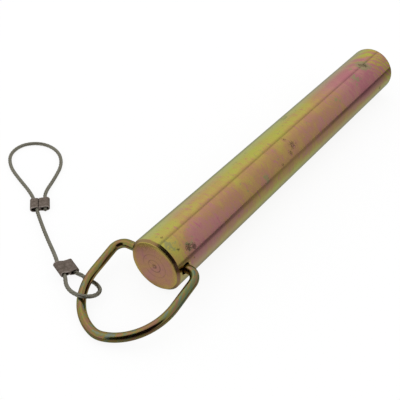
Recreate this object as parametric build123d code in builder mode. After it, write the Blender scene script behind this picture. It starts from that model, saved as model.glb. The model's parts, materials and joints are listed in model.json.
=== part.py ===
from build123d import *
from math import asin, atan2, cos, degrees, hypot, pi, radians, sin, sqrt, tan
import os

# Tow pin with a bail and a wire rope lanyard, in millimetres.
#
# A plain round bar drops through a towing eye. A bent wire bail hangs in a cross hole near one
# end as its handle, and a short wire rope ties the pin to its truck: one crimped eye goes round
# the bail, and the other is free for a screw or a ring.
#
# Frame: the origin is the centre of the bail-end face, on the pin's axis. +X runs along the pin
# to its plain end, +Z is up. The pin lies on the ground, rolled a little, so that the lower side
# of the bail and both ferrules of the lanyard lie on the ground beside it.

# ---- Driving dimensions ----

# Pin: a turned bar
PIN_DIAMETER = 32.0
PIN_LENGTH = 250.0
BAIL_END_CHAMFER = 1.6
PLAIN_END_CHAMFER = 0.4
HOLE_FROM_FACE = 7.0        # cross hole's axis to the bail-end face
HOLE_PLAY = 1.5             # hole diameter over the wire's, so that the bail hangs loose
HOLE_RIM = 0.8              # width of the countersink at each mouth of the hole
PIN_ROLL = 6.5              # degrees that the cross hole is turned, its +Y mouth lower

# Bail: one bent wire
WIRE_DIAMETER = 5.0
WIRE_END_CHAMFER = 0.5
LEG_CLEARANCE = 8.6         # pin's flank to a leg of the bail, with the bail in the middle
SHOULDER_RADIUS = 6.5       # centreline of the bend from a stub into a leg
STUB_DEPTH = 12.0           # how far each stub reaches into the pin, with the bail in the middle
BAIL_REACH = 52.4           # hinge to the centreline of the bow's tip
SIDE_RADIUS = 31.1          # centreline of the bow's two large arcs
TIP_RADIUS = 14.1           # centreline of the bow's small arc
BAIL_SLIDE = 3.2            # how far the bail has slid in its hole, to the lower side

# Lanyard: wire rope and two sleeves of folded sheet, each crimped round two strands
ROPE_DIAMETER = 2.3
CRIMP_BITE = 0.1            # how far the crimp squeezes a strand
SLEEVE_WIDTH = 11.65
SLEEVE_LENGTH = 9.0
SLEEVE_WALL = 0.75
SLEEVE_CORNER = 1.5         # outer rounding of each lobe
CHANNEL_CORNER = 0.8        # inner rounding of each lobe

# Where the two sleeves lie: plan position, direction along the strands, direction across them
BAIL_SLEEVE_AT = (-19.7, 45.5)
BAIL_SLEEVE_ALONG = Vector(0.30, 0.94, 0.16).normalized()
BAIL_SLEEVE_ACROSS = Vector(0.91, -0.24, -0.33)
EYE_SLEEVE_AT = (11.2, 97.4)
EYE_SLEEVE_ALONG = Vector(0.70, 0.71, 0.0).normalized()
EYE_SLEEVE_ACROSS = Vector(-0.71, 0.70, 0.0)

# The rope's route, from its dead end in the bail's sleeve round the bail, back through that
# sleeve, along to the other sleeve, round the free eye and into that sleeve again
ROPE_ROUTE = [
    # right lobe of the bail's sleeve
    (-16.2, 47.9, -12.5), (-18.6, 40.3, -13.8),
    # under the bail, round inside the bow and back over the bail
    (-17.1, 36.6, -14.5), (-18.1, 32.4, -14.5), (-17.9, 26.1, -13.4), (-21.4, 18.8, -11.2),
    (-27.6, 16.7, -9.2), (-32.7, 21.5, -8.3), (-33.0, 28.8, -9.3), (-29.8, 36.1, -11.1),
    # left lobe of the bail's sleeve
    (-24.4, 41.8, -11.7), (-22.0, 49.3, -10.4),
    # the plain stretch, coming down to the ground
    (-17.7, 55.3, -11.0), (-7.0, 74.2, -12.6),
    # left lobe of the eye's sleeve
    (5.8, 94.5, -14.15), (10.7, 100.8, -14.15),
    # the free eye, flat on the ground
    (16.2, 111.1, -14.4), (21.2, 125.4, -14.85), (26.8, 140.1, -14.85), (36.3, 151.0, -14.85),
    (49.1, 152.1, -14.85), (57.9, 142.1, -14.85), (57.5, 127.7, -14.85), (48.7, 115.6, -14.85),
    (34.7, 108.7, -14.85), (20.8, 103.2, -14.5),
    # right lobe of the eye's sleeve
    (14.9, 96.7, -14.15), (9.5, 91.2, -14.15),
]

# ---- Sizes worked out from these ----

PIN_RADIUS = PIN_DIAMETER / 2
GROUND = -PIN_RADIUS
HOLE_RADIUS = (WIRE_DIAMETER + HOLE_PLAY) / 2
HALF_WIDTH = PIN_RADIUS + LEG_CLEARANCE + WIRE_DIAMETER / 2
STUB_TIP = PIN_RADIUS - STUB_DEPTH

# The bow is three arcs, each tangent to the next: a side arc grows out of each leg's end, and
# the tip arc joins them. The side arcs' centres lie beyond the middle plane.
SIDE_CENTRE = HALF_WIDTH - SIDE_RADIUS
TIP_CENTRE = BAIL_REACH - TIP_RADIUS
LEG_END = TIP_CENTRE - sqrt((SIDE_RADIUS - TIP_RADIUS) ** 2 - SIDE_CENTRE**2)
TIP_HALF_ANGLE = degrees(atan2(-SIDE_CENTRE, TIP_CENTRE - LEG_END))

# The bail's lower side arc touches the ground. With s = sin(tilt) cos(roll), the lowest point of
# its centreline is LEG_END * s + SIDE_RADIUS * hypot(sin(roll), s) below the arc's own centre
# line, and s is the smaller root of that equation squared.
SIN_ROLL = sin(radians(PIN_ROLL))
COS_ROLL = cos(radians(PIN_ROLL))
DROP = PIN_RADIUS - WIRE_DIAMETER / 2 - (SIDE_CENTRE + BAIL_SLIDE) * SIN_ROLL
SQUARE = LEG_END**2 - SIDE_RADIUS**2
HALF_LINEAR = DROP * LEG_END
CONSTANT = DROP**2 - (SIDE_RADIUS * SIN_ROLL) ** 2
LOWERING = (HALF_LINEAR - sqrt(HALF_LINEAR**2 - SQUARE * CONSTANT)) / SQUARE
BAIL_TILT = asin(LOWERING / COS_ROLL)

# The cross hole's direction, toward its lower mouth, and the bail's own plane: its x runs across
# the bail and its y from the hinge to the tip.
HOLE_DIRECTION = Vector(0, COS_ROLL, -SIN_ROLL)
HINGE = Vector(HOLE_FROM_FACE, 0, 0)
BAIL_NORMAL = Vector(-sin(BAIL_TILT), cos(BAIL_TILT) * SIN_ROLL, cos(BAIL_TILT) * COS_ROLL)
BAIL_PLANE = Plane(origin=HINGE + HOLE_DIRECTION * BAIL_SLIDE, x_dir=HOLE_DIRECTION, z_dir=BAIL_NORMAL)

SLEEVE_THICKNESS = ROPE_DIAMETER - CRIMP_BITE + 2 * SLEEVE_WALL
LOBE_WIDTH = SLEEVE_WIDTH / 2


def sleeve_plane(at, along, across):
    """The middle section of a sleeve whose lowest corner is on the ground. The seam is on +y."""
    level = Plane(origin=(0, 0, 0), x_dir=across, z_dir=along)
    side = abs(level.x_dir.Z) * (SLEEVE_WIDTH / 2 - SLEEVE_CORNER)
    face = abs(level.y_dir.Z) * (SLEEVE_THICKNESS / 2 - SLEEVE_CORNER)
    corner = SLEEVE_CORNER * hypot(level.x_dir.Z, level.y_dir.Z)
    end = abs(level.z_dir.Z) * SLEEVE_LENGTH / 2
    return Plane(origin=(*at, GROUND + side + face + corner + end), x_dir=across, z_dir=along)


def sleeve_section():
    """A sheet folded into two lobes, flat at the back, with the seam's groove between them."""
    with Locations((-LOBE_WIDTH / 2, 0), (LOBE_WIDTH / 2, 0)):
        RectangleRounded(LOBE_WIDTH, SLEEVE_THICKNESS, SLEEVE_CORNER)
    with Locations((0, (SLEEVE_WALL - SLEEVE_THICKNESS) / 2)):
        Rectangle(LOBE_WIDTH, SLEEVE_WALL)
    with Locations((-LOBE_WIDTH / 2, 0), (LOBE_WIDTH / 2, 0)):
        RectangleRounded(
            LOBE_WIDTH - 2 * SLEEVE_WALL,
            SLEEVE_THICKNESS - 2 * SLEEVE_WALL,
            CHANNEL_CORNER,
            mode=Mode.SUBTRACT,
        )


def bend_radii(points):
    """The largest radius that each corner of a route has room for."""
    radii = []
    for before, corner, after in zip(points, points[1:], points[2:]):
        run_in = Vector(corner) - Vector(before)
        run_out = Vector(after) - Vector(corner)
        half_turn = radians(run_in.get_angle(run_out)) / 2
        radii.append(0.45 * min(run_in.length, run_out.length) / tan(half_turn))
    return radii


# ---- Pin: a round bar with chamfered ends and a loose cross hole ----

with BuildPart() as pin:
    with BuildSketch(Plane.YZ):
        Circle(PIN_RADIUS)
    extrude(amount=PIN_LENGTH)
    chamfer(pin.edges().group_by(Axis.X)[0], BAIL_END_CHAMFER)
    chamfer(pin.edges().group_by(Axis.X)[-1], PLAIN_END_CHAMFER)
    for mouth in (HOLE_DIRECTION, -HOLE_DIRECTION):
        with Locations(Plane(origin=HINGE + mouth * PIN_RADIUS, z_dir=mouth)):
            CounterSinkHole(HOLE_RADIUS, HOLE_RADIUS + HOLE_RIM, PIN_DIAMETER, 90)
pin.part.label = "pin"

# ---- Bail: stub, shoulder, leg, bow, leg, shoulder and stub of one wire, all bends one way ----

with BuildPart() as bail:
    with BuildLine(BAIL_PLANE) as bail_line:
        first_stub = Line((-STUB_TIP, 0), (SHOULDER_RADIUS - HALF_WIDTH, 0))
        first_shoulder = JernArc(first_stub @ 1, first_stub % 1, SHOULDER_RADIUS, -90)
        first_leg = Line(first_shoulder @ 1, (-HALF_WIDTH, LEG_END))
        first_side = JernArc(first_leg @ 1, first_leg % 1, SIDE_RADIUS, TIP_HALF_ANGLE - 90)
        tip = JernArc(first_side @ 1, first_side % 1, TIP_RADIUS, -2 * TIP_HALF_ANGLE)
        second_side = JernArc(tip @ 1, tip % 1, SIDE_RADIUS, TIP_HALF_ANGLE - 90)
        second_leg = Line(second_side @ 1, (HALF_WIDTH, SHOULDER_RADIUS))
        second_shoulder = JernArc(second_leg @ 1, second_leg % 1, SHOULDER_RADIUS, -90)
        second_stub = Line(second_shoulder @ 1, (STUB_TIP, 0))
    with BuildSketch(Plane(origin=first_stub @ 0, z_dir=first_stub % 0)):
        Circle(WIRE_DIAMETER / 2)
    sweep(path=bail_line.line)
    wire_ends = bail.faces().filter_by(GeomType.PLANE)
    chamfer(wire_ends.edges(), WIRE_END_CHAMFER)
bail.part.label = "bail"

# ---- Sleeves: the folded section, as long as the crimp ----

bail_sleeve_plane = sleeve_plane(BAIL_SLEEVE_AT, BAIL_SLEEVE_ALONG, BAIL_SLEEVE_ACROSS)
with BuildPart() as bail_ferrule:
    with BuildSketch(bail_sleeve_plane.offset(-SLEEVE_LENGTH / 2)):
        sleeve_section()
    extrude(amount=SLEEVE_LENGTH)
bail_ferrule.part.label = "bail_ferrule"

eye_sleeve_plane = sleeve_plane(EYE_SLEEVE_AT, EYE_SLEEVE_ALONG, EYE_SLEEVE_ACROSS)
with BuildPart() as eye_ferrule:
    with BuildSketch(eye_sleeve_plane.offset(-SLEEVE_LENGTH / 2)):
        sleeve_section()
    extrude(amount=SLEEVE_LENGTH)
eye_ferrule.part.label = "eye_ferrule"

# ---- Wire rope: one tube along the route ----

rope_radii = bend_radii(ROPE_ROUTE)
with BuildPart() as wire_rope:
    with BuildLine() as rope_line:
        rope_path = FilletPolyline(*ROPE_ROUTE, radius=rope_radii)
    with BuildSketch(Plane(origin=rope_path @ 0, z_dir=rope_path % 0)):
        Circle(ROPE_DIAMETER / 2)
    sweep(path=rope_path)
wire_rope.part.label = "wire_rope"

# ---- Export ----

rope_section = pi * ROPE_DIAMETER**2 / 4
print("bail tilt", round(degrees(BAIL_TILT), 2), "degrees")
print("rope length", round(rope_path.length, 1), "mm")
print("rope bend radii", [round(radius, 1) for radius in rope_radii])
print("rope volume", round(wire_rope.part.volume), "section times length", round(rope_section * rope_path.length))
os.makedirs("parts", exist_ok=True)
for piece in (pin, bail, bail_ferrule, eye_ferrule, wire_rope):
    export_step(piece.part, f"parts/{piece.part.label}.step")
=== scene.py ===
"""Looks of a tow pin: a turned bar with a wire bail and a crimped wire rope lanyard.

The file is laid out as an add-on and is run as a script. Lengths are in metres unless a comment
says otherwise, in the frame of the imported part: +X runs along the pin from its bail end, +Z is up.
"""

import json
import math

import bpy
import numpy as np
from mathutils import Matrix, Vector

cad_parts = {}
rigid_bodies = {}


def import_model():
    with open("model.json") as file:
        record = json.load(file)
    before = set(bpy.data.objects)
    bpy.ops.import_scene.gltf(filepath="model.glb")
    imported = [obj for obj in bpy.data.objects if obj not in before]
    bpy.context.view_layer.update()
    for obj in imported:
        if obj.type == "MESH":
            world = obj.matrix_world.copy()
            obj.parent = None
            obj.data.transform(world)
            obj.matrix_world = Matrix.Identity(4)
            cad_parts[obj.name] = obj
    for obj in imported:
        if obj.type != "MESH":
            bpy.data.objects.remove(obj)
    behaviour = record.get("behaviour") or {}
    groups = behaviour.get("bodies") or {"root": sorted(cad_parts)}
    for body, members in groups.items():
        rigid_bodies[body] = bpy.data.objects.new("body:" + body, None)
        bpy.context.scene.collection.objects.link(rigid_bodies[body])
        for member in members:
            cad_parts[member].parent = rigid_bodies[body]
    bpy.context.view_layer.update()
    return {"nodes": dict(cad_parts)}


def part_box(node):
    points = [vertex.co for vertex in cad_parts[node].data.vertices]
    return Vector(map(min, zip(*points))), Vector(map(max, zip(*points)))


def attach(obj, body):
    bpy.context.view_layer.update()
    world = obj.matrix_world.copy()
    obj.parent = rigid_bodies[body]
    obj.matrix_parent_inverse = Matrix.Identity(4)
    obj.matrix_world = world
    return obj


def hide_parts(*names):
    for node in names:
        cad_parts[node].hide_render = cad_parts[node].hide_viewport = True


bl_info = {
    "name": "Tow pin",
    "version": (1, 0, 0),
    "blender": (4, 5, 0),
    "location": "3D View > Sidebar > Tow pin",
    "description": "Dresses a tow pin, its bail and its wire rope lanyard, and sets up a studio",
    "category": "Object",
}

# A new file may hold a cube, a lamp and a camera of its own, which aren't part of the pin.
for leftover in list(bpy.data.objects):
    bpy.data.objects.remove(leftover)

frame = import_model()

MM = 0.001

PIN_LOW, PIN_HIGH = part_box("pin")
PIN_RADIUS = PIN_HIGH.z
PIN_LENGTH = PIN_HIGH.x
GROUND = PIN_LOW.z

# The brow is the pin's upper side, away from the lanyard, as an angle about the pin's axis from
# +Y toward +Z. Patterns that follow the pin's skin are measured from it.
PIN_BROW = math.radians(125.4)

# The bail's own plane goes through the cross hole. The hole's roll about X and the bail's tilt
# about Y turn that plane level, and it then lies at the rise.
CROSS_HOLE = 7 * MM
BAIL_ROLL = math.radians(6.5)
BAIL_TILT = math.radians(14.11)
BAIL_RISE = -CROSS_HOLE * math.sin(BAIL_TILT)
WIRE_RADIUS = 2.5 * MM

# The lanyard's route, repeated from the part's source: from the rope's dead end in the bail's
# sleeve round the bail, through that sleeve, along to the eye's sleeve and round the free eye.
ROPE_ROUTE = [
    # right lobe of the bail's sleeve
    (-0.0162, 0.0479, -0.0125), (-0.0186, 0.0403, -0.0138),
    # under the bail, round inside the bow and back over the bail
    (-0.0171, 0.0366, -0.0145), (-0.0181, 0.0324, -0.0145), (-0.0179, 0.0261, -0.0134),
    (-0.0214, 0.0188, -0.0112), (-0.0276, 0.0167, -0.0092), (-0.0327, 0.0215, -0.0083),
    (-0.0330, 0.0288, -0.0093), (-0.0298, 0.0361, -0.0111),
    # left lobe of the bail's sleeve
    (-0.0244, 0.0418, -0.0117), (-0.0220, 0.0493, -0.0104),
    # the plain stretch, coming down to the ground
    (-0.0177, 0.0553, -0.0110), (-0.0070, 0.0742, -0.0126),
    # left lobe of the eye's sleeve
    (0.0058, 0.0945, -0.01415), (0.0107, 0.1008, -0.01415),
    # the free eye, flat on the ground
    (0.0162, 0.1111, -0.0144), (0.0212, 0.1254, -0.01485), (0.0268, 0.1401, -0.01485),
    (0.0363, 0.1510, -0.01485), (0.0491, 0.1521, -0.01485), (0.0579, 0.1421, -0.01485),
    (0.0575, 0.1277, -0.01485), (0.0487, 0.1156, -0.01485), (0.0347, 0.1087, -0.01485),
    (0.0208, 0.1032, -0.0145),
    # right lobe of the eye's sleeve
    (0.0149, 0.0967, -0.01415), (0.0095, 0.0912, -0.01415),
]


# ---- Colours ----


def linear(code):
    """An sRGB hex colour as the linear red, green, blue and alpha that Blender mixes in."""
    channels = [int(code[i : i + 2], 16) / 255 for i in (1, 3, 5)]
    return [c / 12.92 if c <= 0.04045 else ((c + 0.055) / 1.055) ** 2.4 for c in channels] + [1.0]


def colour(name, description, code):
    """A colour property with its default from a hex code."""
    return bpy.props.FloatVectorProperty(
        name=name, description=description, default=linear(code), size=4, min=0, max=1, subtype="COLOR"
    )


def length(name, description, metres):
    """A length property, in metres."""
    return bpy.props.FloatProperty(
        name=name, description=description, default=metres, min=0, precision=5, unit="LENGTH"
    )


class TowPinColours(bpy.types.PropertyGroup):
    chromate_green: colour("Yellow green", "Thinnest chromate film, on the upper flank", "#B0B04E")
    chromate_olive: colour("Olive", "Thin chromate film", "#B5A854")
    chromate_tan: colour("Tan", "Middle chromate film", "#B8985C")
    chromate_brown: colour("Brown", "Thicker chromate film", "#B58868")
    chromate_pink: colour("Pink", "Thick chromate film", "#B8827C")
    chromate_mauve: colour("Mauve", "Thickest chromate film", "#B4727C")
    # Pale: painted reflection of the white floor on the bar's flanks, and a plain pale tint on the wire
    pale_tint_and_reflection: colour("Pale", "Washed-out film low on the bar's flanks", "#B9C0A6")
    # Teal: painted reflection at the bend beside the cross hole
    teal_reflection: colour("Teal", "Film where the wire is bent", "#74A08E")
    sheen_rose: colour("Rose sheen", "Rose threads along the wire", "#C87C80")
    sheen_gold: colour("Gold sheen", "Gold threads along the wire", "#D0A456")
    sheen_green: colour("Green sheen", "Green threads along the wire", "#A4B848")
    sheen_blue: colour("Blue sheen", "Blue threads along the wire", "#86B4B0")
    # Drawn wire: painted shade that darkens the whole wire's colour
    drawn_wire_and_shade: colour("Drawn wire", "What the drawn wire under the film sends back", "#BBBDB6")
    film_edge: colour("Film edge", "What passivated metal sends back at a grazing angle", "#D2D6BE")
    bared: colour("Bared", "Green-grey patches round the marks", "#8E9166")
    # Stain: dirt and bare spots, and also the painted shade in the rope's valleys and along the plain
    # end's edge
    stain_and_shade: colour("Stain", "Dirt and bare spots in the plating", "#3A3424")
    rope: colour("Rope", "Galvanised wire of the rope", "#8F8C7F")
    ferrule: colour("Ferrule", "Sheet of the crimp sleeves", "#7E726A")
    ferrule_rim_highlight: colour("Ferrule rim", "Cut ends of the crimp sleeves", "#B8ACA4")
    bare_edge: colour("Bare edge", "What bare metal sends back at a grazing angle", "#BCBCB6")
    paper: colour("Paper", "Floor that the pin lies on", "#FFFFFF")
    room: colour("Room", "Light from all round", "#FFFFFF")
    black_cloth: colour("Black cloth", "Opening in the light tent", "#1A1814")


class TowPinSizes(bpy.types.PropertyGroup):
    rope_diameter: length("Rope", "Diameter over the strands", 2.3 * MM)
    rope_lay: length("Lay", "Length of one turn of a strand", 15 * MM)
    wire_lay: length("Wire lay", "Length of one turn of the wires in a strand", 6 * MM)
    strand_groove: bpy.props.FloatProperty(
        name="Strand groove", default=0.08, min=0, max=0.5, subtype="FACTOR",
        description="Depth of the valleys between wires, as a share of a strand's radius",
    )
    strand_swell: bpy.props.FloatProperty(
        name="Strand swell", default=1.3, min=1, max=1.4, subtype="FACTOR",
        description="How much fuller a strand is than a third of the rope, as it beds in",
    )
    sleeve_width: length("Sleeve width", "Ferrule, across both lobes", 11.65 * MM)
    sleeve_length: length("Sleeve length", "Ferrule, along the strands", 9 * MM)
    sleeve_wall: length("Sleeve wall", "Sheet thickness of a ferrule", 0.75 * MM)
    sleeve_thickness: length("Sleeve thickness", "Ferrule, over the crimped strands", 3.7 * MM)
    ragged_edge: length("Ragged edge", "How far the ends of a crimped sleeve wander", 0.4 * MM)
    jaw_depth: length("Jaw depth", "Depth of a valley that the crimping jaws left", 0.16 * MM)
    bail_end_face: length("Bail end face", "Radius inside the bail end's chamfer", 14.4 * MM)
    edge_radius: length("Edge radius", "Rounding between a face and its chamfer", 0.5 * MM)
    skin: length("Skin", "How far a face's skin lies proud of the bar", 0.05 * MM)
    ring_depth: length("Ring depth", "Depth of the tool's rings on the face", 0.07 * MM)
    pip_height: length("Pip height", "Nib that the parting tool left", 0.28 * MM)


# ---- Materials ----

# Marks on the bar, in millimetres: the distance from the bail end, the distance round the bar
# from its brow and the radius. The last number is how thickly the mark is strewn.
BARE_PATCHES = [
    (15.0, 3.0, 5.0, 0.7),
    (87.0, 6.0, 4.5, 1.0),
    (138.0, -17.6, 6.0, 0.9),
    (178.0, -1.5, 5.0, 0.6),
    (208.0, -2.8, 6.5, 1.0),
    (215.0, -10.6, 3.0, 0.8),
    (225.5, -6.6, 8.0, 1.7),
    (4.5, -3.0, 7.0, 0.85),
]
SPECKS = [
    (6.0, -9.2, 1.6, 1.1),
    (7.0, 1.4, 2.0, 1.3),
    (13.5, 4.2, 4.2, 1.5),
    (16.5, 5.6, 3.4, 1.5),
    (14.0, 11.2, 1.5, 1.1),
    (88.0, 6.6, 2.6, 0.7),
    (104.0, 6.5, 3.0, 1.0),
    (118.0, -4.6, 2.8, 1.1),
    (115.0, 4.2, 3.6, 1.12),
    (120.0, 1.4, 6.5, 1.12),
    (150.0, -15.6, 1.8, 0.9),
    (226.5, -5.4, 4.2, 1.35),
    (224.5, -8.6, 3.4, 1.15),
    (231.5, 16.0, 2.0, 1.9),
]


def add(tree, kind, inputs=None, out=0, stops=(), **settings):
    """Adds a node, sets its attributes, inputs and ramp stops, and returns one of its outputs.
    An input that is itself an output is linked, and any other is set on the socket."""
    node = tree.nodes.new(kind)
    for name, value in settings.items():
        setattr(node, name, value)
    for key, value in (inputs or {}).items():
        if isinstance(value, bpy.types.NodeSocket):
            tree.links.new(value, node.inputs[key])
        else:
            node.inputs[key].default_value = value
    for index, (place, tone) in enumerate(stops):
        elements = node.color_ramp.elements
        element = elements[index] if index < 2 else elements.new(place)
        element.position = place
        element.color = tone if hasattr(tone, "__len__") else (tone, tone, tone, 1)
    return node.outputs[out] if len(node.outputs) else None


def material(name):
    """An empty material and its node tree."""
    made = bpy.data.materials.new(name)
    made.use_nodes = True
    made.node_tree.nodes.clear()
    return made, made.node_tree


def finish_metal(tree, base, rough, height, depth, edge_tint):
    """Ends a metal: base colour, roughness and a height pattern with its depth in metres into
    one metallic shader. The edge tint is what the surface sends back at a grazing angle."""
    bumped = add(tree, "ShaderNodeBump", {"Height": height, "Distance": depth})
    shader = add(tree, "ShaderNodeBsdfPrincipled", {
        "Base Color": base, "Metallic": 1.0, "Roughness": rough, "Normal": bumped,
        "Specular Tint": edge_tint})
    add(tree, "ShaderNodeOutputMaterial", {"Surface": shader})


def finish_glow(tree, tone):
    """Ends a stage piece that only glows."""
    glow = add(tree, "ShaderNodeEmission", {"Color": tone})
    add(tree, "ShaderNodeOutputMaterial", {"Surface": glow})


def film_colours(tree, thickness):
    """Colours of a yellow chromate film by its thickness, from 0, thin, to 1, thick."""
    tones = bpy.context.scene.tow_pin_colours
    return add(tree, "ShaderNodeValToRGB", {"Fac": thickness}, stops=[
        (0.0, tones.chromate_green),
        (0.22, tones.chromate_olive),
        (0.42, tones.chromate_tan),
        (0.60, tones.chromate_brown),
        (0.78, tones.chromate_pink),
        (1.0, tones.chromate_mauve),
    ])


def bar_zones(tree, share, above, under):
    """The film's thickness in broad zones, by the share of the bar's length: one course on the
    brow, one on the flank above it and one on the side below it."""
    brow = add(tree, "ShaderNodeValToRGB", {"Fac": share}, stops=[
        (0.0, 0.25), (0.03, 0.22), (0.048, 0.56), (0.09, 0.76), (0.20, 0.68), (0.26, 0.56),
        (0.30, 0.50), (0.345, 0.58), (0.38, 0.48), (0.48, 0.44), (0.52, 0.60), (0.68, 0.62),
        (0.78, 0.76), (0.84, 0.92), (0.90, 0.88), (0.94, 0.62), (1.0, 0.36)])
    flank = add(tree, "ShaderNodeValToRGB", {"Fac": share}, stops=[
        (0.0, 0.2), (0.05, 0.12), (0.10, 0.40), (0.22, 0.30), (0.34, 0.12), (0.52, 0.12),
        (0.62, 0.30), (0.69, 0.50), (0.75, 0.88), (0.82, 1.0), (0.91, 0.82), (0.94, 0.45),
        (1.0, 0.25)])
    below = add(tree, "ShaderNodeValToRGB", {"Fac": share}, stops=[
        (0.0, 0.3), (0.06, 0.60), (0.16, 0.52), (0.25, 0.3), (0.32, 0.18), (0.50, 0.16),
        (0.62, 0.34), (0.74, 0.52), (0.84, 0.38), (0.90, 0.46), (1.0, 0.24)])
    zones = add(tree, "ShaderNodeMix", {0: above, 2: brow, 3: flank}, data_type="FLOAT")
    return add(tree, "ShaderNodeMix", {0: under, 2: zones, 3: below}, data_type="FLOAT")


def run_marks(tree, along, angle, clouds, above):
    """Run marks of the bath near the plain end: sine waves along a course that leans back by
    13.5 mm per radian round the bar, wavers by up to 17 mm with the clouds, and repeats every
    4.4 mm on the brow and every 10.5 mm on the flank."""
    course = add(tree, "ShaderNodeMath", {0: angle, 1: -13.5 * MM, 2: along}, operation="MULTIPLY_ADD")
    wavering = add(tree, "ShaderNodeMath", {0: clouds, 1: 17 * MM, 2: course}, operation="MULTIPLY_ADD")
    fine = add(tree, "ShaderNodeMath", {
        0: wavering, 1: 2 * math.pi / (4.4 * MM)}, operation="MULTIPLY")
    fine = add(tree, "ShaderNodeMath", {0: fine}, operation="SINE")
    wide = add(tree, "ShaderNodeMath", {
        0: wavering, 1: 2 * math.pi / (10.5 * MM), 2: 2.2}, operation="MULTIPLY_ADD")
    wide = add(tree, "ShaderNodeMath", {0: wide}, operation="SINE")
    runs = add(tree, "ShaderNodeMix", {0: above, 2: fine, 3: wide}, data_type="FLOAT")
    zone = add(tree, "ShaderNodeMapRange", {
        "Value": course, "From Min": 220 * MM, "From Max": 236 * MM, "To Max": 0.3})
    return add(tree, "ShaderNodeMath", {0: runs, 1: zone}, operation="MULTIPLY")


def strewn(tree, skin, marks):
    """How thickly a place on the bar's skin is strewn with marks: the highest of their cones,
    each of which rises from its mark's radius to a fifth of it."""
    highest = 0.0
    for along, across, radius, weight in marks:
        apart = add(tree, "ShaderNodeVectorMath", {
            0: skin, 1: (along * MM, across * MM, 0)}, out=1, operation="DISTANCE")
        cone = add(tree, "ShaderNodeMapRange", {
            "Value": apart, "From Min": radius * MM, "From Max": 0.2 * radius * MM, "To Max": weight})
        highest = add(tree, "ShaderNodeMath", {0: highest, 1: cone}, operation="MAXIMUM")
    return highest


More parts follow.
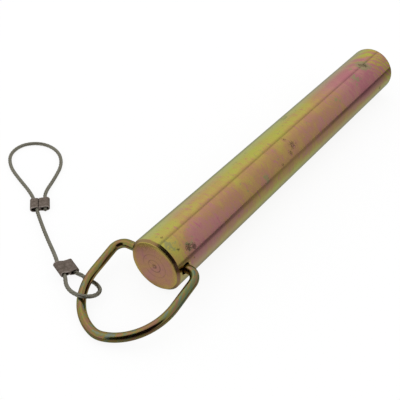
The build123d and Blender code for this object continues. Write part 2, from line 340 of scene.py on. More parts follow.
def passivated_bar():
    """Zinc plate with yellow chromate on a turned bar. The film's thickness drifts along the
    bar, so the eye sees broad yellow-green and pink zones with cloudy edges, and a satin gloss."""
    made, tree = material("yellow_passivated_turned_bar")
    tones = bpy.context.scene.tow_pin_colours
    place = add(tree, "ShaderNodeTexCoord", out=3)
    turned = add(tree, "ShaderNodeMapping", {"Vector": place, "Rotation": (-PIN_BROW, 0, 0)})
    axes = add(tree, "ShaderNodeSeparateXYZ", {"Vector": turned}).node.outputs
    along = axes[0]
    share = add(tree, "ShaderNodeMath", {0: along, 1: PIN_LENGTH}, operation="DIVIDE")
    angle = add(tree, "ShaderNodeMath", {0: axes[2], 1: axes[1]}, operation="ARCTAN2")
    round_share = add(tree, "ShaderNodeMapRange", {
        "Value": angle, "From Min": -math.pi, "From Max": math.pi})

    # Shares round the bar: the flank's above the brow, the side's below it, and how much painted pale
    # reflection of the white floor lies on the film at the height of the axis
    above = add(tree, "ShaderNodeValToRGB", {"Fac": round_share}, stops=[
        (0.0, 0.5), (0.27, 1.0), (0.40, 1.0), (0.445, 0.25), (0.52, 0.0), (1.0, 0.0)])
    under = add(tree, "ShaderNodeValToRGB", {"Fac": round_share}, stops=[
        (0.0, 0.5), (0.3, 0.0), (0.605, 0.0), (0.625, 0.15), (0.645, 0.8), (0.66, 1.0), (1.0, 0.5)])
    pale_reflection = add(tree, "ShaderNodeValToRGB", {"Fac": round_share}, stops=[
        (0.0, 0.5), (0.28, 0.5), (0.33, 0.36), (0.37, 0.06), (0.42, 0.0), (0.58, 0.0), (0.63, 0.12),
        (0.675, 0.34), (0.71, 0.22), (0.76, 0.3), (1.0, 0.5)])

    # Clouds of 12 mm, streaks of 6 mm and flecks of 4 mm, both squeezed along the bar
    clouds = add(tree, "ShaderNodeTexNoise", {
        "Vector": place, "Scale": 1 / (12.5 * MM), "Detail": 4.0, "Roughness": 0.6})
    leaning = add(tree, "ShaderNodeMapping", {
        "Vector": place, "Rotation": (0, 0.25, 0.3), "Scale": (3.2, 1, 1)})
    streaks = add(tree, "ShaderNodeTexNoise", {
        "Vector": leaning, "Scale": 1 / (6.25 * MM), "Detail": 5.0, "Roughness": 0.65})
    aslant = add(tree, "ShaderNodeMapping", {
        "Vector": place, "Rotation": (0, 0.5, 0.7), "Scale": (2.2, 1, 1)})
    flecks = add(tree, "ShaderNodeTexNoise", {
        "Vector": aslant, "Scale": 1 / (4.348 * MM), "Detail": 4.0, "Roughness": 0.6})
    drift = add(tree, "ShaderNodeMath", {0: clouds, 1: 0.9, 2: -0.44}, operation="MULTIPLY_ADD")
    smear = add(tree, "ShaderNodeMath", {0: streaks, 1: 0.55, 2: -0.27}, operation="MULTIPLY_ADD")
    fleck = add(tree, "ShaderNodeMapRange", {
        "Value": flecks, "From Min": 0.58, "From Max": 0.68, "To Max": 0.32})

    # The bail end's chamfer is browner and duller, as the tool left it rougher, and takes less of the
    # painted pale reflection
    chamfer = add(tree, "ShaderNodeMapRange", {
        "Value": along, "From Min": 1.7 * MM, "From Max": 1.3 * MM})
    thicker = add(tree, "ShaderNodeMath", {0: chamfer, 1: 0.3}, operation="MULTIPLY")

    film = bar_zones(tree, share, above, under)
    runs = run_marks(tree, along, angle, clouds, above)
    for change in (drift, smear, fleck, thicker, runs):
        film = add(tree, "ShaderNodeMath", {0: film, 1: change}, operation="ADD")
    base = film_colours(tree, film)
    # Painted pale reflection of the white floor on the flanks, mostly kept off the chamfer
    kept = add(tree, "ShaderNodeMath", {0: chamfer, 1: -0.7, 2: 1.0}, operation="MULTIPLY_ADD")
    pale_reflection = add(tree, "ShaderNodeMath", {0: pale_reflection, 1: kept}, operation="MULTIPLY")
    base = add(tree, "ShaderNodeMix", {
        0: pale_reflection, 6: base, 7: tones.pale_tint_and_reflection}, out=2, data_type="RGBA")
    dulled = add(tree, "ShaderNodeMath", {0: chamfer, 1: 0.4}, operation="MULTIPLY")
    base = add(tree, "ShaderNodeMix", {0: dulled, 6: base, 7: tones.stain_and_shade}, out=2, data_type="RGBA")

    # Marks: greenish patches, ragged by a noise of 2 mm, and dark specks of 0.7 mm
    arc = add(tree, "ShaderNodeMath", {0: angle, 1: PIN_RADIUS}, operation="MULTIPLY")
    skin = add(tree, "ShaderNodeCombineXYZ", {"X": along, "Y": arc})
    ragged = add(tree, "ShaderNodeTexNoise", {
        "Vector": place, "Scale": 1 / (1.923 * MM), "Detail": 3.0, "Roughness": 0.6})
    grit = add(tree, "ShaderNodeTexNoise", {
        "Vector": place, "Scale": 1 / (0.7143 * MM), "Detail": 3.0, "Roughness": 0.7})
    patches = add(tree, "ShaderNodeMath", {
        0: strewn(tree, skin, BARE_PATCHES), 1: 0.26, 2: ragged}, operation="MULTIPLY_ADD")
    patches = add(tree, "ShaderNodeMapRange", {
        "Value": patches, "From Min": 0.62, "From Max": 0.72, "To Max": 0.7})
    specks = add(tree, "ShaderNodeMath", {
        0: strewn(tree, skin, SPECKS), 1: 0.28, 2: grit}, operation="MULTIPLY_ADD")
    specks = add(tree, "ShaderNodeMapRange", {
        "Value": specks, "From Min": 0.74, "From Max": 0.86, "To Max": 0.74})
    bared = add(tree, "ShaderNodeMix", {0: patches, 6: base, 7: tones.bared}, out=2, data_type="RGBA")
    # A band along the broken edge at the plain end is darkened as painted shade
    edge_shade = add(tree, "ShaderNodeMapRange", {
        "Value": along, "From Min": PIN_LENGTH - 0.9 * MM, "From Max": PIN_LENGTH - 0.4 * MM,
        "To Max": 0.75})
    # The specks' dirt and the painted edge shade both darken toward the stain colour
    soil = add(tree, "ShaderNodeMath", {0: specks, 1: edge_shade}, operation="MAXIMUM")
    soiled = add(tree, "ShaderNodeMix", {0: soil, 6: bared, 7: tones.stain_and_shade}, out=2, data_type="RGBA")

    # Satin gloss, and turning marks of 1 mm round the bar and a third of that along it
    rough = add(tree, "ShaderNodeMapRange", {
        "Value": streaks, "From Min": 0.3, "From Max": 0.7, "To Min": 0.1, "To Max": 0.17})
    rough = add(tree, "ShaderNodeMath", {0: chamfer, 1: 0.12, 2: rough}, operation="MULTIPLY_ADD")
    squeezed = add(tree, "ShaderNodeMapping", {"Vector": place, "Scale": (3, 1, 1)})
    turning = add(tree, "ShaderNodeTexNoise", {
        "Vector": squeezed, "Scale": 1 / (1.111 * MM), "Detail": 3.0})
    finish_metal(tree, soiled, rough, turning, 0.008 * MM, tones.film_edge)
    return made


def passivated_face():
    """Zinc plate with yellow chromate on a parted-off face: an even brown-pink film, matte from
    the tool's feed, greener toward the rim where the bath ran off. Its clouds are 9 mm wide and
    its mottle 1.7 mm."""
    made, tree = material("yellow_passivated_parted_face")
    tones = bpy.context.scene.tow_pin_colours
    sizes = bpy.context.scene.tow_pin_sizes
    place = add(tree, "ShaderNodeTexCoord", out=3)
    flat = add(tree, "ShaderNodeMapping", {"Vector": place, "Scale": (0, 1, 1)})
    radius = add(tree, "ShaderNodeVectorMath", {0: flat}, out=1, operation="LENGTH")
    clouds = add(tree, "ShaderNodeTexNoise", {
        "Vector": place, "Scale": 1 / (9.091 * MM), "Detail": 4.0, "Roughness": 0.6})
    mottle = add(tree, "ShaderNodeTexNoise", {
        "Vector": place, "Scale": 1 / (1.667 * MM), "Detail": 3.0, "Roughness": 0.7})
    film = add(tree, "ShaderNodeMath", {0: clouds, 1: 0.7, 2: 0.28}, operation="MULTIPLY_ADD")
    film = add(tree, "ShaderNodeMath", {0: mottle, 1: 0.3, 2: film}, operation="MULTIPLY_ADD")
    rim = add(tree, "ShaderNodeMapRange", {
        "Value": radius, "From Min": sizes.bail_end_face - 2.9 * MM, "From Max": sizes.bail_end_face,
        "To Min": 0.12, "To Max": 0.42})
    film = add(tree, "ShaderNodeMath", {0: film, 1: rim}, operation="SUBTRACT")
    base = film_colours(tree, film)
    dust = add(tree, "ShaderNodeMapRange", {
        "Value": mottle, "From Min": 0.56, "From Max": 0.72, "To Min": 0.07, "To Max": 0.3})
    # Dirt lies in the tool's rings, whose radii are shares of 10 mm here, and only in stretches
    spread = add(tree, "ShaderNodeMath", {0: radius, 1: 10 * MM}, operation="DIVIDE")
    rings = add(tree, "ShaderNodeValToRGB", {"Fac": spread}, stops=[
        (0.06, 0.3), (0.09, 1.0), (0.14, 1.0), (0.18, 0.0), (0.345, 0.0), (0.37, 1.0),
        (0.395, 1.0), (0.42, 0.0), (0.69, 0.0), (0.715, 0.7), (0.735, 0.7), (0.76, 0.0)])
    stretches = add(tree, "ShaderNodeMapRange", {
        "Value": clouds, "From Min": 0.38, "From Max": 0.6, "To Min": 0.22, "To Max": 0.62})
    rings = add(tree, "ShaderNodeMath", {0: rings, 1: stretches}, operation="MULTIPLY")
    dust = add(tree, "ShaderNodeMath", {0: dust, 1: rings}, operation="MAXIMUM")
    soiled = add(tree, "ShaderNodeMix", {0: dust, 6: base, 7: tones.stain_and_shade}, out=2, data_type="RGBA")
    rough = add(tree, "ShaderNodeMapRange", {
        "Value": clouds, "From Min": 0.3, "From Max": 0.7, "To Min": 0.24, "To Max": 0.34})
    finish_metal(tree, soiled, rough, mottle, 0.04 * MM, tones.film_edge)
    return made


def passivated_wire():
    """Zinc plate with yellow chromate on drawn wire: stretches of 10 mm from olive to pink, fine
    threads of rose, gold, green and blue, a painted teal reflection at the bend beside the cross
    hole and painted shade that darkens the whole wire. It is glossier than the bar."""
    made, tree = material("yellow_passivated_drawn_wire")
    tones = bpy.context.scene.tow_pin_colours
    place = add(tree, "ShaderNodeTexCoord", out=3)
    stretches = add(tree, "ShaderNodeTexNoise", {
        "Vector": place, "Scale": 1 / (10.53 * MM), "Detail": 3.0, "Roughness": 0.6})

    # Threads of 1.5 mm run along the wire: a noise over the way round its section, which is the
    # arc cosine of the height over the bail's plane, plus 0.4 of the place, which draws them out
    level = add(tree, "ShaderNodeMapping", {"Vector": place, "Rotation": (BAIL_ROLL, BAIL_TILT, 0)})
    height = add(tree, "ShaderNodeSeparateXYZ", {"Vector": level}, out=2)
    height = add(tree, "ShaderNodeMapRange", {
        "Value": height, "From Min": BAIL_RISE - WIRE_RADIUS, "From Max": BAIL_RISE + WIRE_RADIUS,
        "To Min": -1.0, "To Max": 1.0})
    angle = add(tree, "ShaderNodeMath", {0: height}, operation="ARCCOSINE")
    way = add(tree, "ShaderNodeMath", {0: angle, 1: WIRE_RADIUS}, operation="MULTIPLY")
    way = add(tree, "ShaderNodeCombineXYZ", {"X": way})
    drawn = add(tree, "ShaderNodeVectorMath", {
        0: place, 1: (0.4, 0.4, 0.4), 2: way}, operation="MULTIPLY_ADD")
    threads = add(tree, "ShaderNodeTexNoise", {
        "Vector": drawn, "Scale": 1 / (1.5625 * MM), "Detail": 4.0})
    film = add(tree, "ShaderNodeMath", {0: stretches, 1: 1.6, 2: -1.29}, operation="MULTIPLY_ADD")
    film = add(tree, "ShaderNodeMath", {0: threads, 1: 2.0, 2: film}, operation="MULTIPLY_ADD")
    base = film_colours(tree, film)
    sheen = add(tree, "ShaderNodeValToRGB", {"Fac": threads}, stops=[
        (0.41, tones.sheen_rose), (0.48, tones.sheen_gold), (0.56, tones.sheen_green),
        (0.66, tones.sheen_blue)])
    base = add(tree, "ShaderNodeMix", {0: 0.6, 6: base, 7: sheen}, out=2, data_type="RGBA")
    base = add(tree, "ShaderNodeMix", {
        0: 0.08, 6: base, 7: tones.pale_tint_and_reflection}, out=2, data_type="RGBA")

    # A painted teal reflection lies on the bend beside the cross hole, most of all in its green and blue
    # threads
    bend = add(tree, "ShaderNodeVectorMath", {
        0: place, 1: (4 * MM, -26.2 * MM, 1 * MM)}, out=1, operation="DISTANCE")
    near = add(tree, "ShaderNodeMapRange", {
        "Value": bend, "From Min": 8 * MM, "From Max": 30 * MM, "To Min": 0.5, "To Max": 0.08})
    cool = add(tree, "ShaderNodeMapRange", {
        "Value": threads, "From Min": 0.44, "From Max": 0.60, "To Min": 0.1, "To Max": 1.0})
    tint = add(tree, "ShaderNodeMath", {0: near, 1: cool}, operation="MULTIPLY")
    base = add(tree, "ShaderNodeMix", {
        0: tint, 6: base, 7: tones.teal_reflection}, out=2, data_type="RGBA")
    # Painted shade: the whole wire's colour is multiplied darker
    base = add(tree, "ShaderNodeMix", {
        0: 1.0, 6: base, 7: tones.drawn_wire_and_shade}, out=2, data_type="RGBA", blend_type="MULTIPLY")
    rough = add(tree, "ShaderNodeMapRange", {
        "Value": threads, "From Min": 0.3, "From Max": 0.7, "To Min": 0.1, "To Max": 0.2})
    finish_metal(tree, base, rough, threads, 0.012 * MM, tones.film_edge)
    return made


def galvanised_wire():
    """Galvanised rope wire: dull grey with a trace of olive, with painted shade in the valleys of the
    lay and darker in dirt of 3 mm."""
    made, tree = material("galvanised_rope_wire")
    tones = bpy.context.scene.tow_pin_colours
    place = add(tree, "ShaderNodeTexCoord", out=3)
    soil = add(tree, "ShaderNodeTexNoise", {"Vector": place, "Scale": 1 / (3.333 * MM), "Detail": 4.0})
    # Painted shade: the valley value darkens the rope between its wires
    valley = add(tree, "ShaderNodeAttribute", attribute_name="valley", out=2)
    shade = add(tree, "ShaderNodeMath", {0: soil, 1: 0.5, 2: valley}, operation="MULTIPLY_ADD")
    dark = add(tree, "ShaderNodeMapRange", {
        "Value": shade, "From Min": 0.3, "From Max": 1.25, "To Max": 0.36})
    base = add(tree, "ShaderNodeMix", {0: dark, 6: tones.rope, 7: tones.stain_and_shade}, out=2, data_type="RGBA")
    rough = add(tree, "ShaderNodeMapRange", {
        "Value": soil, "From Min": 0.3, "From Max": 0.7, "To Min": 0.34, "To Max": 0.5})
    finish_metal(tree, base, rough, soil, 0.02 * MM, tones.bare_edge)
    return made


def crimped_sheet():
    """Plated sheet after crimping: matte grey-brown with a mottle of 1.4 mm from the jaws, and a
    painted highlight on the upper side of its cut ends."""
    made, tree = material("crimped_plated_sheet")
    tones = bpy.context.scene.tow_pin_colours
    place = add(tree, "ShaderNodeTexCoord", out=3)
    mottle = add(tree, "ShaderNodeTexNoise", {
        "Vector": place, "Scale": 1 / (1.429 * MM), "Detail": 4.0, "Roughness": 0.7})
    rim = add(tree, "ShaderNodeAttribute", attribute_name="rim", out=2)
    dark = add(tree, "ShaderNodeMapRange", {
        "Value": mottle, "From Min": 0.35, "From Max": 0.7, "To Max": 0.5})
    base = add(tree, "ShaderNodeMix", {
        0: dark, 6: tones.ferrule, 7: tones.stain_and_shade}, out=2, data_type="RGBA")
    # Painted highlight on the upper side of the cut ends
    bright = add(tree, "ShaderNodeMix", {
        0: rim, 6: base, 7: tones.ferrule_rim_highlight}, out=2, data_type="RGBA")
    rough = add(tree, "ShaderNodeMapRange", {
        "Value": mottle, "From Min": 0.3, "From Max": 0.7, "To Min": 0.36, "To Max": 0.55})
    finish_metal(tree, bright, rough, mottle, 0.06 * MM, tones.bare_edge)
    return made


# ---- Meshes ----


def grid_faces(rows, columns, wrap):
    """Quads between neighbouring rows of a grid, joined round each row where wrap is true."""
    row = np.arange(rows - 1)[:, None] * columns
    first = np.arange(columns if wrap else columns - 1)[None, :]
    second = (first + 1) % columns
    return np.stack(
        [row + first, row + second, row + columns + second, row + columns + first], axis=-1
    ).reshape(-1, 4)


def mesh_piece(name, vertices, faces, made, body):
    """A smooth mesh piece that rides on a body."""
    mesh = bpy.data.meshes.new(name)
    mesh.from_pydata(np.asarray(vertices, float).reshape(-1, 3).tolist(), [], faces)
    mesh.validate()
    mesh.shade_smooth()
    mesh.materials.append(made)
    piece = bpy.data.objects.new(name, mesh)
    bpy.context.scene.collection.objects.link(piece)
    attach(piece, body)
    return piece


def route_points():
    """The rope's smooth line: a quadratic NURBS spline along the route, read as points."""
    curve = bpy.data.curves.new("rope_route", "CURVE")
    curve.dimensions = "3D"
    curve.resolution_u = 20
    spline = curve.splines.new("NURBS")
    spline.points.add(len(ROPE_ROUTE) - 1)
    for point, place in zip(spline.points, ROPE_ROUTE):
        point.co = (*place, 1)
    spline.order_u = 3
    spline.use_endpoint_u = True
    holder = bpy.data.objects.new("rope_route", curve)
    bpy.context.scene.collection.objects.link(holder)
    line = bpy.data.meshes.new_from_object(holder)
    points = np.empty(len(line.vertices) * 3)
    line.vertices.foreach_get("co", points)
    bpy.data.objects.remove(holder)
    bpy.data.curves.remove(curve)
    bpy.data.meshes.remove(line)
    return points.reshape(-1, 3)


def path_frames(points):
    """Distance along a nearly level line, and its sideways and upward directions: the tangent
    is the difference of neighbours, sideways is tangent x up, and upward completes the three."""
    tangent = np.gradient(points, axis=0)
    tangent /= np.linalg.norm(tangent, axis=1, keepdims=True)
    side = np.cross(tangent, (0, 0, 1))
    side /= np.linalg.norm(side, axis=1, keepdims=True)
    upward = np.cross(side, tangent)
    steps = np.linalg.norm(np.diff(points, axis=0), axis=1)
    return np.concatenate([[0], np.cumsum(steps)]), side, upward


def strand(points, side, upward, run, radius, helix, turn, sizes):
    """One strand of the rope. Its centre runs at the helix radius, at an angle of one turn per
    lay plus its own start. Its outline at angle u is radius x (1 - groove x |sin 3u|), which
    leaves six wires, and the outline turns once per wire lay."""
    around = 18
    lay = 2 * np.pi * run / sizes.rope_lay + turn
    centre = points + helix * (np.cos(lay)[:, None] * side + np.sin(lay)[:, None] * upward)
    u = np.linspace(0, 2 * np.pi, around, endpoint=False)
    valley = np.abs(np.sin(3 * u))
    spin = u[None, :] + (2 * np.pi * run / sizes.wire_lay)[:, None]
    reach = radius * (1 - sizes.strand_groove * valley)
    ring = reach[None, :, None] * (
        np.cos(spin)[:, :, None] * side[:, None, :] + np.sin(spin)[:, :, None] * upward[:, None, :]
    )
    return centre[:, None, :] + ring, np.broadcast_to(valley, spin.shape)


def rope_mesh(points, sizes):
    """Six strands round a straight core strand, each closed by a flat end."""
    run, side, upward = path_frames(points)
    strand_radius = sizes.rope_diameter / 6 * sizes.strand_swell
    helix = sizes.rope_diameter / 2 - strand_radius
    turns = [(helix, k * np.pi / 3) for k in range(6)] + [(0.0, 0.0)]
    vertices, faces, valleys, start = [], [], [], 0
    for reach, turn in turns:
        rings, valley = strand(points, side, upward, run, strand_radius, reach, turn, sizes)
        rows, columns = rings.shape[:2]
        faces += (grid_faces(rows, columns, True)[:, ::-1] + start).tolist()
        faces.append(list(range(start, start + columns)))
        last = start + (rows - 1) * columns
        faces.append(list(range(last + columns - 1, last - 1, -1)))
        vertices.append(rings.reshape(-1, 3))
        valleys.append(valley.reshape(-1))
        start += rows * columns
    return np.concatenate(vertices), faces, np.concatenate(valleys)


def filleted(corners, radii, steps):
    """A line through corners in a plane. Each inner corner is an arc of its own radius, which
    swings about its middle from one tangent point to the other."""
    line = [corners[0]]
    for before, corner, after, radius in zip(corners, corners[1:], corners[2:], radii):
        back = (before - corner) / np.linalg.norm(before - corner)
        on = (after - corner) / np.linalg.norm(after - corner)
        half = math.acos(float(np.clip(back @ on, -1, 1))) / 2
        middle = corner + (back + on) / np.linalg.norm(back + on) * radius / math.sin(half)
        start = corner + back * radius / math.tan(half) - middle
        end = corner + on * radius / math.tan(half) - middle
        t = np.linspace(0, 1, steps)[:, None]
        swing = math.pi - 2 * half
        line.extend(middle + (np.sin((1 - t) * swing) * start + np.sin(t * swing) * end) / math.sin(swing))
    line.append(corners[-1])
    return np.array(line)


def sleeve_midline(sizes, seam):
    """Middle of the sheet in a sleeve's section: from the seam down the middle wall, round one
    lobe, along the flat back, round the other lobe and back to the seam. The seam is on +y, and
    off the middle by its own distance."""
    wall = sizes.sleeve_wall
    top = (sizes.sleeve_thickness - wall) / 2
    out = (sizes.sleeve_width - wall) / 2
    middle = wall / 2 + 0.02 * MM
    half = [(-middle, -top + wall), (-middle, top), (-out, top), (-out, -top)]
    corners = [np.array(p) for p in half + [(-x, y) for x, y in reversed(half)]]
    corners[1] = corners[1] + (seam, 0)
    corners[-2] = corners[-2] + (seam, 0)
    at_seam, round_lobe = 0.3 * MM, 1.12 * MM
    line = filleted(corners, [at_seam] + 4 * [round_lobe] + [at_seam], 7)
    run = np.concatenate([[0], np.cumsum(np.linalg.norm(np.diff(line, axis=0), axis=1))])
    even = np.linspace(0, run[-1], 150)
    return np.stack([np.interp(even, run, line[:, i]) for i in (0, 1)], axis=1)


def ragged_ends(count, sizes, seed):
    """How far a sheet's two ends fall short at each point round it: a sum of seven sine waves
    with random phases, the finer the lower, stretched to the size of the ragged edge."""
    rng = np.random.default_rng(seed)
    share = np.linspace(0, 1, count)
    waves = np.arange(2, 9)[:, None]
    phases = rng.uniform(0, 2 * np.pi, (2, len(waves), 1))
    heights = rng.uniform(0.3, 1.0, (2, len(waves), 1)) / waves
    short = (heights * np.sin(2 * np.pi * waves * share + phases)).sum(1)
    short = (short - short.min(1, keepdims=True)) / np.ptp(short, axis=1, keepdims=True)
    return short * sizes.ragged_edge


def jaw_squeeze(midline, outward, stations, sizes):
    """Share of the section's height that is left at each station and point: the jaws left two
    Gauss-shaped valleys across the flat sides, and a lobe is fullest over its strand."""
    half = sizes.sleeve_length / 2
    lobe = sizes.sleeve_width / 4
    place, width = 0.42 * half, 0.16 * half
    valleys = sizes.jaw_depth * (np.exp(-(((stations - place) / width) ** 2))
                                 + np.exp(-(((stations + place) / width) ** 2)))
    flat = np.clip(np.abs(outward[:, 1]), 0, 1) ** 2
    off_strand = np.abs(np.abs(midline[:, 0]) - lobe) / lobe
    slope = 0.2 * np.clip(off_strand, 0, 1) ** 2
    return 1 - valleys[:, None] * flat / (sizes.sleeve_thickness / 2) - slope


def sleeve_mesh(origin, across, along, sizes, seam, seed):
    """A folded sheet crimped round two strands: the midline is offset by half the wall to both
    sides and carried along the strands. Its edges are rounded, its ends are ragged, and the jaws
    squeeze it. The rim value rises to 1 on the upper side of the cut ends, where it paints a highlight."""
    midline = sleeve_midline(sizes, seam)
    tangent = np.gradient(midline, axis=0)
    tangent /= np.linalg.norm(tangent, axis=1, keepdims=True)
    outward = np.stack([-tangent[:, 1], tangent[:, 0]], axis=1)

    # Stations along the strands, closer where the sheet thins toward its rounded ends
    half = sizes.sleeve_length / 2
    edge = 0.22 * MM
    ends = half - edge * np.array([0, 0.3, 0.65, 1.0])
    inner = np.linspace(-half + 2 * edge, half - 2 * edge, 26)
    stations = np.concatenate([-ends, inner, ends[::-1]])
    from_end = half - np.abs(stations)
    body = np.clip(from_end / edge, 0, 1)
    thickness = sizes.sleeve_wall * (0.45 + 0.55 * np.sqrt(1 - (1 - body) ** 2))

    short_low, short_high = ragged_ends(len(midline), sizes, seed)
    near_low = np.clip(-stations / half, 0, 1)[:, None] ** 3
    near_high = np.clip(stations / half, 0, 1)[:, None] ** 3
    run = stations[:, None] + near_low * short_low - near_high * short_high

    squeeze = jaw_squeeze(midline, outward, stations, sizes)
    sides = []
    for sign in (-1, 1):
        side = midline + sign * outward * thickness[:, None, None] / 2
        side[:, :, 1] *= squeeze
        sides.append(side)
    loop = np.concatenate([sides[0], sides[1][:, ::-1]], axis=1)
    shift = np.concatenate([run, run[:, ::-1]], axis=1)
    up = np.cross(along, across)
    vertices = (np.asarray(origin) + loop[:, :, :1] * across + loop[:, :, 1:] * up
                + shift[:, :, None] * along)
    rows, columns = shift.shape
    i = np.arange(columns // 2 - 1)
    cap = np.stack([i, columns - 1 - i, columns - 2 - i, i + 1], axis=1)
    faces = grid_faces(rows, columns, True).tolist()
    faces += cap.tolist()
    faces += (cap[:, ::-1] + (rows - 1) * columns).tolist()
    # Painted highlight: the rim value is kept to the upper side of the cut ends
    rim = 1 - np.clip(from_end / (2.2 * edge), 0, 1)[:, None]
    rim = rim * np.clip((vertices[:, :, 2] - origin[2]) / (0.4 * sizes.sleeve_thickness), 0, 1)
    return vertices.reshape(-1, 3), faces, rim.reshape(-1)


def turned_disc(grooves, sizes):
    """The turned face of the bail end as a surface of revolution about the pin's axis. Its height
    over the radius is a fine feed mark, a Gauss-shaped valley at each groove's radius and a nib
    in the middle. It lies a little proud of the bar, and its rim turns over the edge by an eighth
    of a circle and runs back into the chamfer."""
    feed, feed_depth = 0.45 * MM, 0.004 * MM
    groove_width, nib_width = 0.24 * MM, 0.75 * MM
    proud, edge = sizes.skin, sizes.edge_radius
    corner = sizes.bail_end_face + (math.sqrt(2) - 1) * proud
    flat_end = corner - edge * math.tan(math.pi / 8)
    radii = np.linspace(0.02 * MM, flat_end, 120)
    height = proud + feed_depth * (np.sin(2 * np.pi * radii / feed) - 1)
    for radius, depth in grooves:
        height = height - depth * sizes.ring_depth * np.exp(-(((radii - radius) / groove_width) ** 2))
    height += sizes.pip_height * np.exp(-((radii / nib_width) ** 2))
    height[-1] = proud
    t = np.linspace(0, math.pi / 4, 8)[1:]
    radii = np.concatenate([radii, flat_end + edge * np.sin(t)])
    height = np.concatenate([height, proud - edge * (1 - np.cos(t))])
    # The last two rings: on down the chamfer, then into the bar
    radii = np.concatenate([radii, radii[-1] + np.array([0.12, 0.08]) * MM])
    height = np.concatenate([height, height[-1] - np.array([0.12, 0.32]) * MM])
    angles = np.linspace(0, 2 * np.pi, 128, endpoint=False)
    rings = np.stack([
        np.broadcast_to(-height[:, None], (len(radii), len(angles))),
        radii[:, None] * np.cos(angles)[None, :],
        radii[:, None] * np.sin(angles)[None, :],
    ], axis=-1)
    faces = grid_faces(len(radii), len(angles), True)
    faces = faces.tolist() + [list(range(len(angles)))[::-1]]
    return rings.reshape(-1, 3), faces


# ---- Operators ----


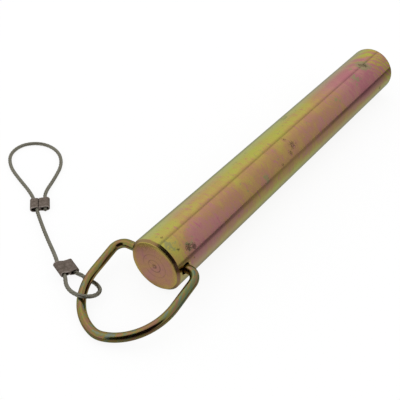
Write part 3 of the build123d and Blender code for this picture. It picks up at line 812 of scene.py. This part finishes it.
class TOWPIN_OT_stage(bpy.types.Operator):
    """Makes the camera, the white room, the paper floor, the light tent, the sheet of painted floor
    shade that the metal mirrors and the soft lamp"""

    bl_idname = "towpin.stage"
    bl_label = "Stage"

    def execute(self, context):
        tones = context.scene.tow_pin_colours
        context.scene.view_settings.view_transform = "Standard"
        self.make_camera(context)
        self.make_room(context, tones)
        self.make_floor(tones)
        self.make_tent()
        self.make_opening(tones)
        self.make_mirrored_shade()
        self.make_lamp(context)
        return {"FINISHED"}

    def make_camera(self, context):
        """A long lens that looks down on the bail end. Right and up are the picture's own."""
        camera = bpy.data.cameras.new("camera")
        camera.lens = 67.06
        camera.sensor_width = 36
        camera.clip_start = 10 * MM
        holder = bpy.data.objects.new("camera", camera)
        place = Vector((-0.207748, -0.180890, 0.272264))
        right = Vector((0.58991, -0.80747, 0.00031))
        up = Vector((0.51557, 0.37696, 0.76947))
        turn = Matrix((right, up, right.cross(up))).transposed()
        holder.matrix_world = Matrix.Translation(place) @ turn.to_4x4()
        context.scene.collection.objects.link(holder)
        context.scene.camera = holder

    def make_room(self, context, tones):
        """White light from all round."""
        world = bpy.data.worlds.new("white_studio")
        world.use_nodes = True
        tree = world.node_tree
        tree.nodes.clear()
        back = add(tree, "ShaderNodeBackground", {"Color": tones.room})
        add(tree, "ShaderNodeOutputWorld", {"Surface": back})
        context.scene.world = world

    def make_floor(self, tones):
        """Paper that mostly glows where it is seen, so that only a faint shadow lies on it."""
        made, tree = material("seamless_white_paper")
        paper = add(tree, "ShaderNodeBsdfDiffuse", {"Color": tones.paper})
        glow = add(tree, "ShaderNodeEmission", {"Color": tones.paper})
        path = add(tree, "ShaderNodeLightPath").node.outputs
        seen = path["Is Camera Ray"]
        for other in ("Is Glossy Ray", "Is Transmission Ray"):
            seen = add(tree, "ShaderNodeMath", {0: seen, 1: path[other]}, operation="MAXIMUM")
        share = add(tree, "ShaderNodeMath", {0: seen, 1: 0.88}, operation="MULTIPLY")
        mixed = add(tree, "ShaderNodeMixShader", {0: share, 1: paper, 2: glow})
        add(tree, "ShaderNodeOutputMaterial", {"Surface": mixed})
        self.sheet("floor", [(-3, -3), (3, -3), (3, 3), (-3, 3)], GROUND - 0.05 * MM, made)

    def sheet(self, name, corners, z, made):
        """A level stage piece with four corners."""
        vertices = [(x, y, z) for x, y in corners]
        return self.stage_piece(name, vertices, [(0, 1, 2, 3)], made)

    def stage_piece(self, name, vertices, faces, made):
        """A stage piece, which isn't part of the pin."""
        mesh = bpy.data.meshes.new(name)
        mesh.from_pydata(vertices, [], faces)
        mesh.materials.append(made)
        piece = bpy.data.objects.new(name, mesh)
        bpy.context.scene.collection.objects.link(piece)
        return piece

    def mirror_only(self, piece):
        """The metal reflects the piece, which neither shows, lights nor shades anything else."""
        piece.visible_camera = False
        piece.visible_diffuse = False
        piece.visible_shadow = False
        piece.visible_volume_scatter = False

    def make_tent(self):
        """A half cylinder of cloth round the pin's axis, bright on the far side, with a dark
        seam overhead, and dimmer on the near side. The angle starts at +Y and rises."""
        radius, rows, hem = 1.2, 121, 0.02
        angles = np.linspace(-hem, math.pi + hem, rows)
        ends = np.array([-3.0, 4.0])
        vertices = np.stack([
            np.broadcast_to(ends[None, :], (rows, 2)),
            np.broadcast_to(radius * np.cos(angles)[:, None], (rows, 2)),
            np.broadcast_to(radius * np.sin(angles)[:, None], (rows, 2)),
        ], axis=-1)
        made, tree = material("light_tent_cloth")
        place = add(tree, "ShaderNodeTexCoord", out=3)
        axes = add(tree, "ShaderNodeSeparateXYZ", {"Vector": place}).node.outputs
        angle = add(tree, "ShaderNodeMath", {0: axes[2], 1: axes[1]}, operation="ARCTAN2")
        share = add(tree, "ShaderNodeMath", {0: angle, 1: math.pi}, operation="DIVIDE")
        tone = add(tree, "ShaderNodeValToRGB", {"Fac": share}, stops=[
            (0.0, 0.95), (0.35, 1.0), (0.40, 0.85), (0.445, 0.42), (0.452, 0.95),
            (0.70, 0.72), (0.94, 0.62), (1.0, 0.55)])
        finish_glow(tree, tone)
        vertices = vertices.reshape(-1, 3).tolist()
        faces = grid_faces(rows, 2, False).tolist()
        self.mirror_only(self.stage_piece("light_tent", vertices, faces, made))

    def make_opening(self, tones):
        """The dark opening in the tent: a square with full corners, |x|^4 + |y|^4 = 1 in metres
        and a little lower than wide, that faces the pin from 1 m and ends above the ground."""
        made, tree = material("black_cloth")
        finish_glow(tree, tones.black_cloth)
        heading, lift = math.radians(214), math.radians(27)
        out = np.array([math.cos(heading) * math.cos(lift), math.sin(heading) * math.cos(lift),
                        math.sin(lift)])
        wide = np.array([-math.sin(heading), math.cos(heading), 0])
        tall = 0.95 * np.cross(out, wide)
        t = np.linspace(0, 2 * np.pi, 48, endpoint=False)[:, None]
        fullness = (np.abs(np.cos(t)) ** 4 + np.abs(np.sin(t)) ** 4) ** 0.25
        outline = out + (np.cos(t) * wide + np.sin(t) * tall) / fullness
        outline[:, 2] = np.maximum(outline[:, 2], GROUND + 10 * MM)
        face = list(range(len(t)))
        self.mirror_only(self.stage_piece("tent_opening", outline.tolist(), [face], made))

    def make_mirrored_shade(self):
        """A grey glowing sheet that only the metal mirrors, in place of the floor, with painted shade. It
        is dimmer in the pin's own shade, on the near side, before the opening and past the plain end,
        and lighter clear of the bail end."""
        made, tree = material("mirrored_floor_shade")
        place = add(tree, "ShaderNodeTexCoord", out=3)
        axes = add(tree, "ShaderNodeSeparateXYZ", {"Vector": place}).node.outputs
        across = add(tree, "ShaderNodeMapRange", {
            "Value": axes[1], "From Min": -0.3, "From Max": 0.3})
        beside = add(tree, "ShaderNodeValToRGB", {"Fac": across}, stops=[
            (0.0, 0.5), (0.05, 0.2), (0.25, 0.2), (0.30, 0.3), (0.40, 0.5), (0.45, 0.6),
            (0.463, 0.71), (0.471, 0.68), (0.478, 0.46), (0.486, 0.38), (0.53, 0.48),
            (0.58, 0.52), (0.63, 0.66), (0.70, 0.86), (1.0, 1.0)])
        # The painted shade is less dim where the middle of the pin mirrors it, by the place along the pin
        met = add(tree, "ShaderNodeVectorMath", {
            0: place, 1: (1, 1.07, 0)}, out=1, operation="DOT_PRODUCT")
        least = add(tree, "ShaderNodeValToRGB", {"Fac": met}, stops=[
            (0.0, 0.2), (0.004, 0.32), (0.09, 0.48), (0.13, 0.46), (0.155, 0.38), (0.18, 0.26),
            (0.2, 0.2)])
        clear = add(tree, "ShaderNodeMapRange", {
            "Value": axes[0], "From Min": 4 * MM, "From Max": -4 * MM, "To Max": 0.74})
        toward = add(tree, "ShaderNodeVectorMath", {
            0: place, 1: (-0.807, -0.59, 0)}, out=1, operation="DOT_PRODUCT")
        before = add(tree, "ShaderNodeMapRange", {
            "Value": toward, "From Min": 10 * MM, "From Max": 80 * MM, "To Min": 1.0, "To Max": 0.2})
        aslant = add(tree, "ShaderNodeVectorMath", {
            0: place, 1: (1, -1, 0)}, out=1, operation="DOT_PRODUCT")
        past = add(tree, "ShaderNodeMapRange", {
            "Value": aslant, "From Min": 0.29, "From Max": 0.36, "To Min": 1.0, "To Max": 0.76})
        tone = add(tree, "ShaderNodeMath", {0: beside, 1: least}, operation="MAXIMUM")
        tone = add(tree, "ShaderNodeMath", {0: tone, 1: past}, operation="MULTIPLY")
        tone = add(tree, "ShaderNodeMath", {0: tone, 1: clear}, operation="MAXIMUM")
        tone = add(tree, "ShaderNodeMath", {0: tone, 1: before}, operation="MULTIPLY")
        finish_glow(tree, tone)
        corners = [(-1.1, -1.1), (1.5, -1.1), (1.5, 1.1), (-1.1, 1.1)]
        self.mirror_only(self.sheet("mirrored_floor_shade", corners, GROUND - 0.02 * MM, made))

    def make_lamp(self, context):
        """A soft round lamp above the far side, aimed at the pin."""
        lamp = bpy.data.lights.new("soft_lamp", "AREA")
        lamp.shape = "DISK"
        lamp.size = 0.9
        lamp.energy = 0.5
        holder = bpy.data.objects.new("soft_lamp", lamp)
        place = Vector((0.0, 0.45, 0.95))
        aim = Vector((0.1, 0.02, 0.0)) - place
        turn = aim.to_track_quat("-Z", "Y").to_matrix()
        holder.matrix_world = Matrix.Translation(place) @ turn.to_4x4()
        context.scene.collection.objects.link(holder)


class TOWPIN_OT_lanyard(bpy.types.Operator):
    """Makes the wire rope of seven strands and its two crimped sleeves"""

    bl_idname = "towpin.lanyard"
    bl_label = "Lanyard"

    def execute(self, context):
        sizes = context.scene.tow_pin_sizes
        sheet = crimped_sheet()
        on_bail = self.sleeve(
            "bail_sleeve", "bail_ferrule", (-0.0197, 0.0455, -0.012046), (0.30, 0.94, 0.16),
            (0.91, -0.24, -0.33), sheet, sizes, 0.0, 3)
        on_eye = self.sleeve(
            "eye_sleeve", "eye_ferrule", (0.0112, 0.0974, -0.01415), (0.70, 0.71, 0.0),
            (-0.71, 0.70, 0.0), sheet, sizes, 0.9 * MM, 8)
        points = route_points()
        vertices, faces, valleys = rope_mesh(points, sizes)
        rope = mesh_piece("rope_strands", vertices, faces, galvanised_wire(), "bail")
        # The valley value paints shade between the wires
        rope.data.attributes.new("valley", "FLOAT", "POINT").data.foreach_set("value", valleys)
        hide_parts("wire_rope")
        return {"FINISHED"}

    def sleeve(self, name, node, origin, along, across, made, sizes, seam, seed):
        """One crimped sleeve, with its length along the strands and its lobes across them."""
        along = np.array(along) / np.linalg.norm(along)
        across = np.array(across) - along * (np.array(across) @ along)
        across /= np.linalg.norm(across)
        vertices, faces, rim = sleeve_mesh(origin, across, along, sizes, seam, seed)
        piece = mesh_piece(name, vertices, faces, made, "bail")
        piece.data.attributes.new("rim", "FLOAT", "POINT").data.foreach_set("value", rim)
        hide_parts(node)
        return piece


class TOWPIN_OT_pin(bpy.types.Operator):
    """Gives the bar its plating, the bail end's face a skin and the plain end's face its finish"""

    bl_idname = "towpin.pin"
    bl_label = "Pin"

    def execute(self, context):
        sizes = context.scene.tow_pin_sizes
        plating = passivated_bar()
        frame["nodes"]["pin"].material_slots[0].material = plating
        parted = passivated_face()
        vertices, faces = turned_disc([(3.8 * MM, 0.5), (7.25 * MM, 0.3)], sizes)
        mesh_piece("bail_end_face", vertices, faces, parted, "pin")
        # The plain end's face is the bar's own
        mesh = frame["nodes"]["pin"].data
        mesh.materials.append(parted)
        for polygon in mesh.polygons:
            if polygon.center.x > PIN_LENGTH - 0.01 * MM:
                polygon.material_index = 1
        return {"FINISHED"}


class TOWPIN_OT_bail(bpy.types.Operator):
    """Gives the bail's wire its plating"""

    bl_idname = "towpin.bail"
    bl_label = "Bail"

    def execute(self, context):
        frame["nodes"]["bail"].material_slots[0].material = passivated_wire()
        return {"FINISHED"}


class TOWPIN_PT_sidebar(bpy.types.Panel):
    """Lists the steps that dress the tow pin"""

    bl_label = "Tow pin"
    bl_space_type = "VIEW_3D"
    bl_region_type = "UI"
    bl_category = "Tow pin"

    def draw(self, context):
        for step in STEPS:
            self.layout.operator(step.bl_idname)
        for group in (context.scene.tow_pin_sizes, context.scene.tow_pin_colours):
            for name in group.__annotations__:
                self.layout.prop(group, name)


STEPS = (TOWPIN_OT_stage, TOWPIN_OT_lanyard, TOWPIN_OT_pin, TOWPIN_OT_bail)
CLASSES = (TowPinColours, TowPinSizes, *STEPS, TOWPIN_PT_sidebar)


def register():
    for cls in CLASSES:
        bpy.utils.register_class(cls)
    bpy.types.Scene.tow_pin_colours = bpy.props.PointerProperty(type=TowPinColours)
    bpy.types.Scene.tow_pin_sizes = bpy.props.PointerProperty(type=TowPinSizes)


def unregister():
    del bpy.types.Scene.tow_pin_sizes
    del bpy.types.Scene.tow_pin_colours
    for cls in reversed(CLASSES):
        bpy.utils.unregister_class(cls)


def main():
    register()
    bpy.ops.towpin.stage()
    bpy.ops.towpin.lanyard()
    bpy.ops.towpin.pin()
    bpy.ops.towpin.bail()


if __name__ == "__main__":
    main()
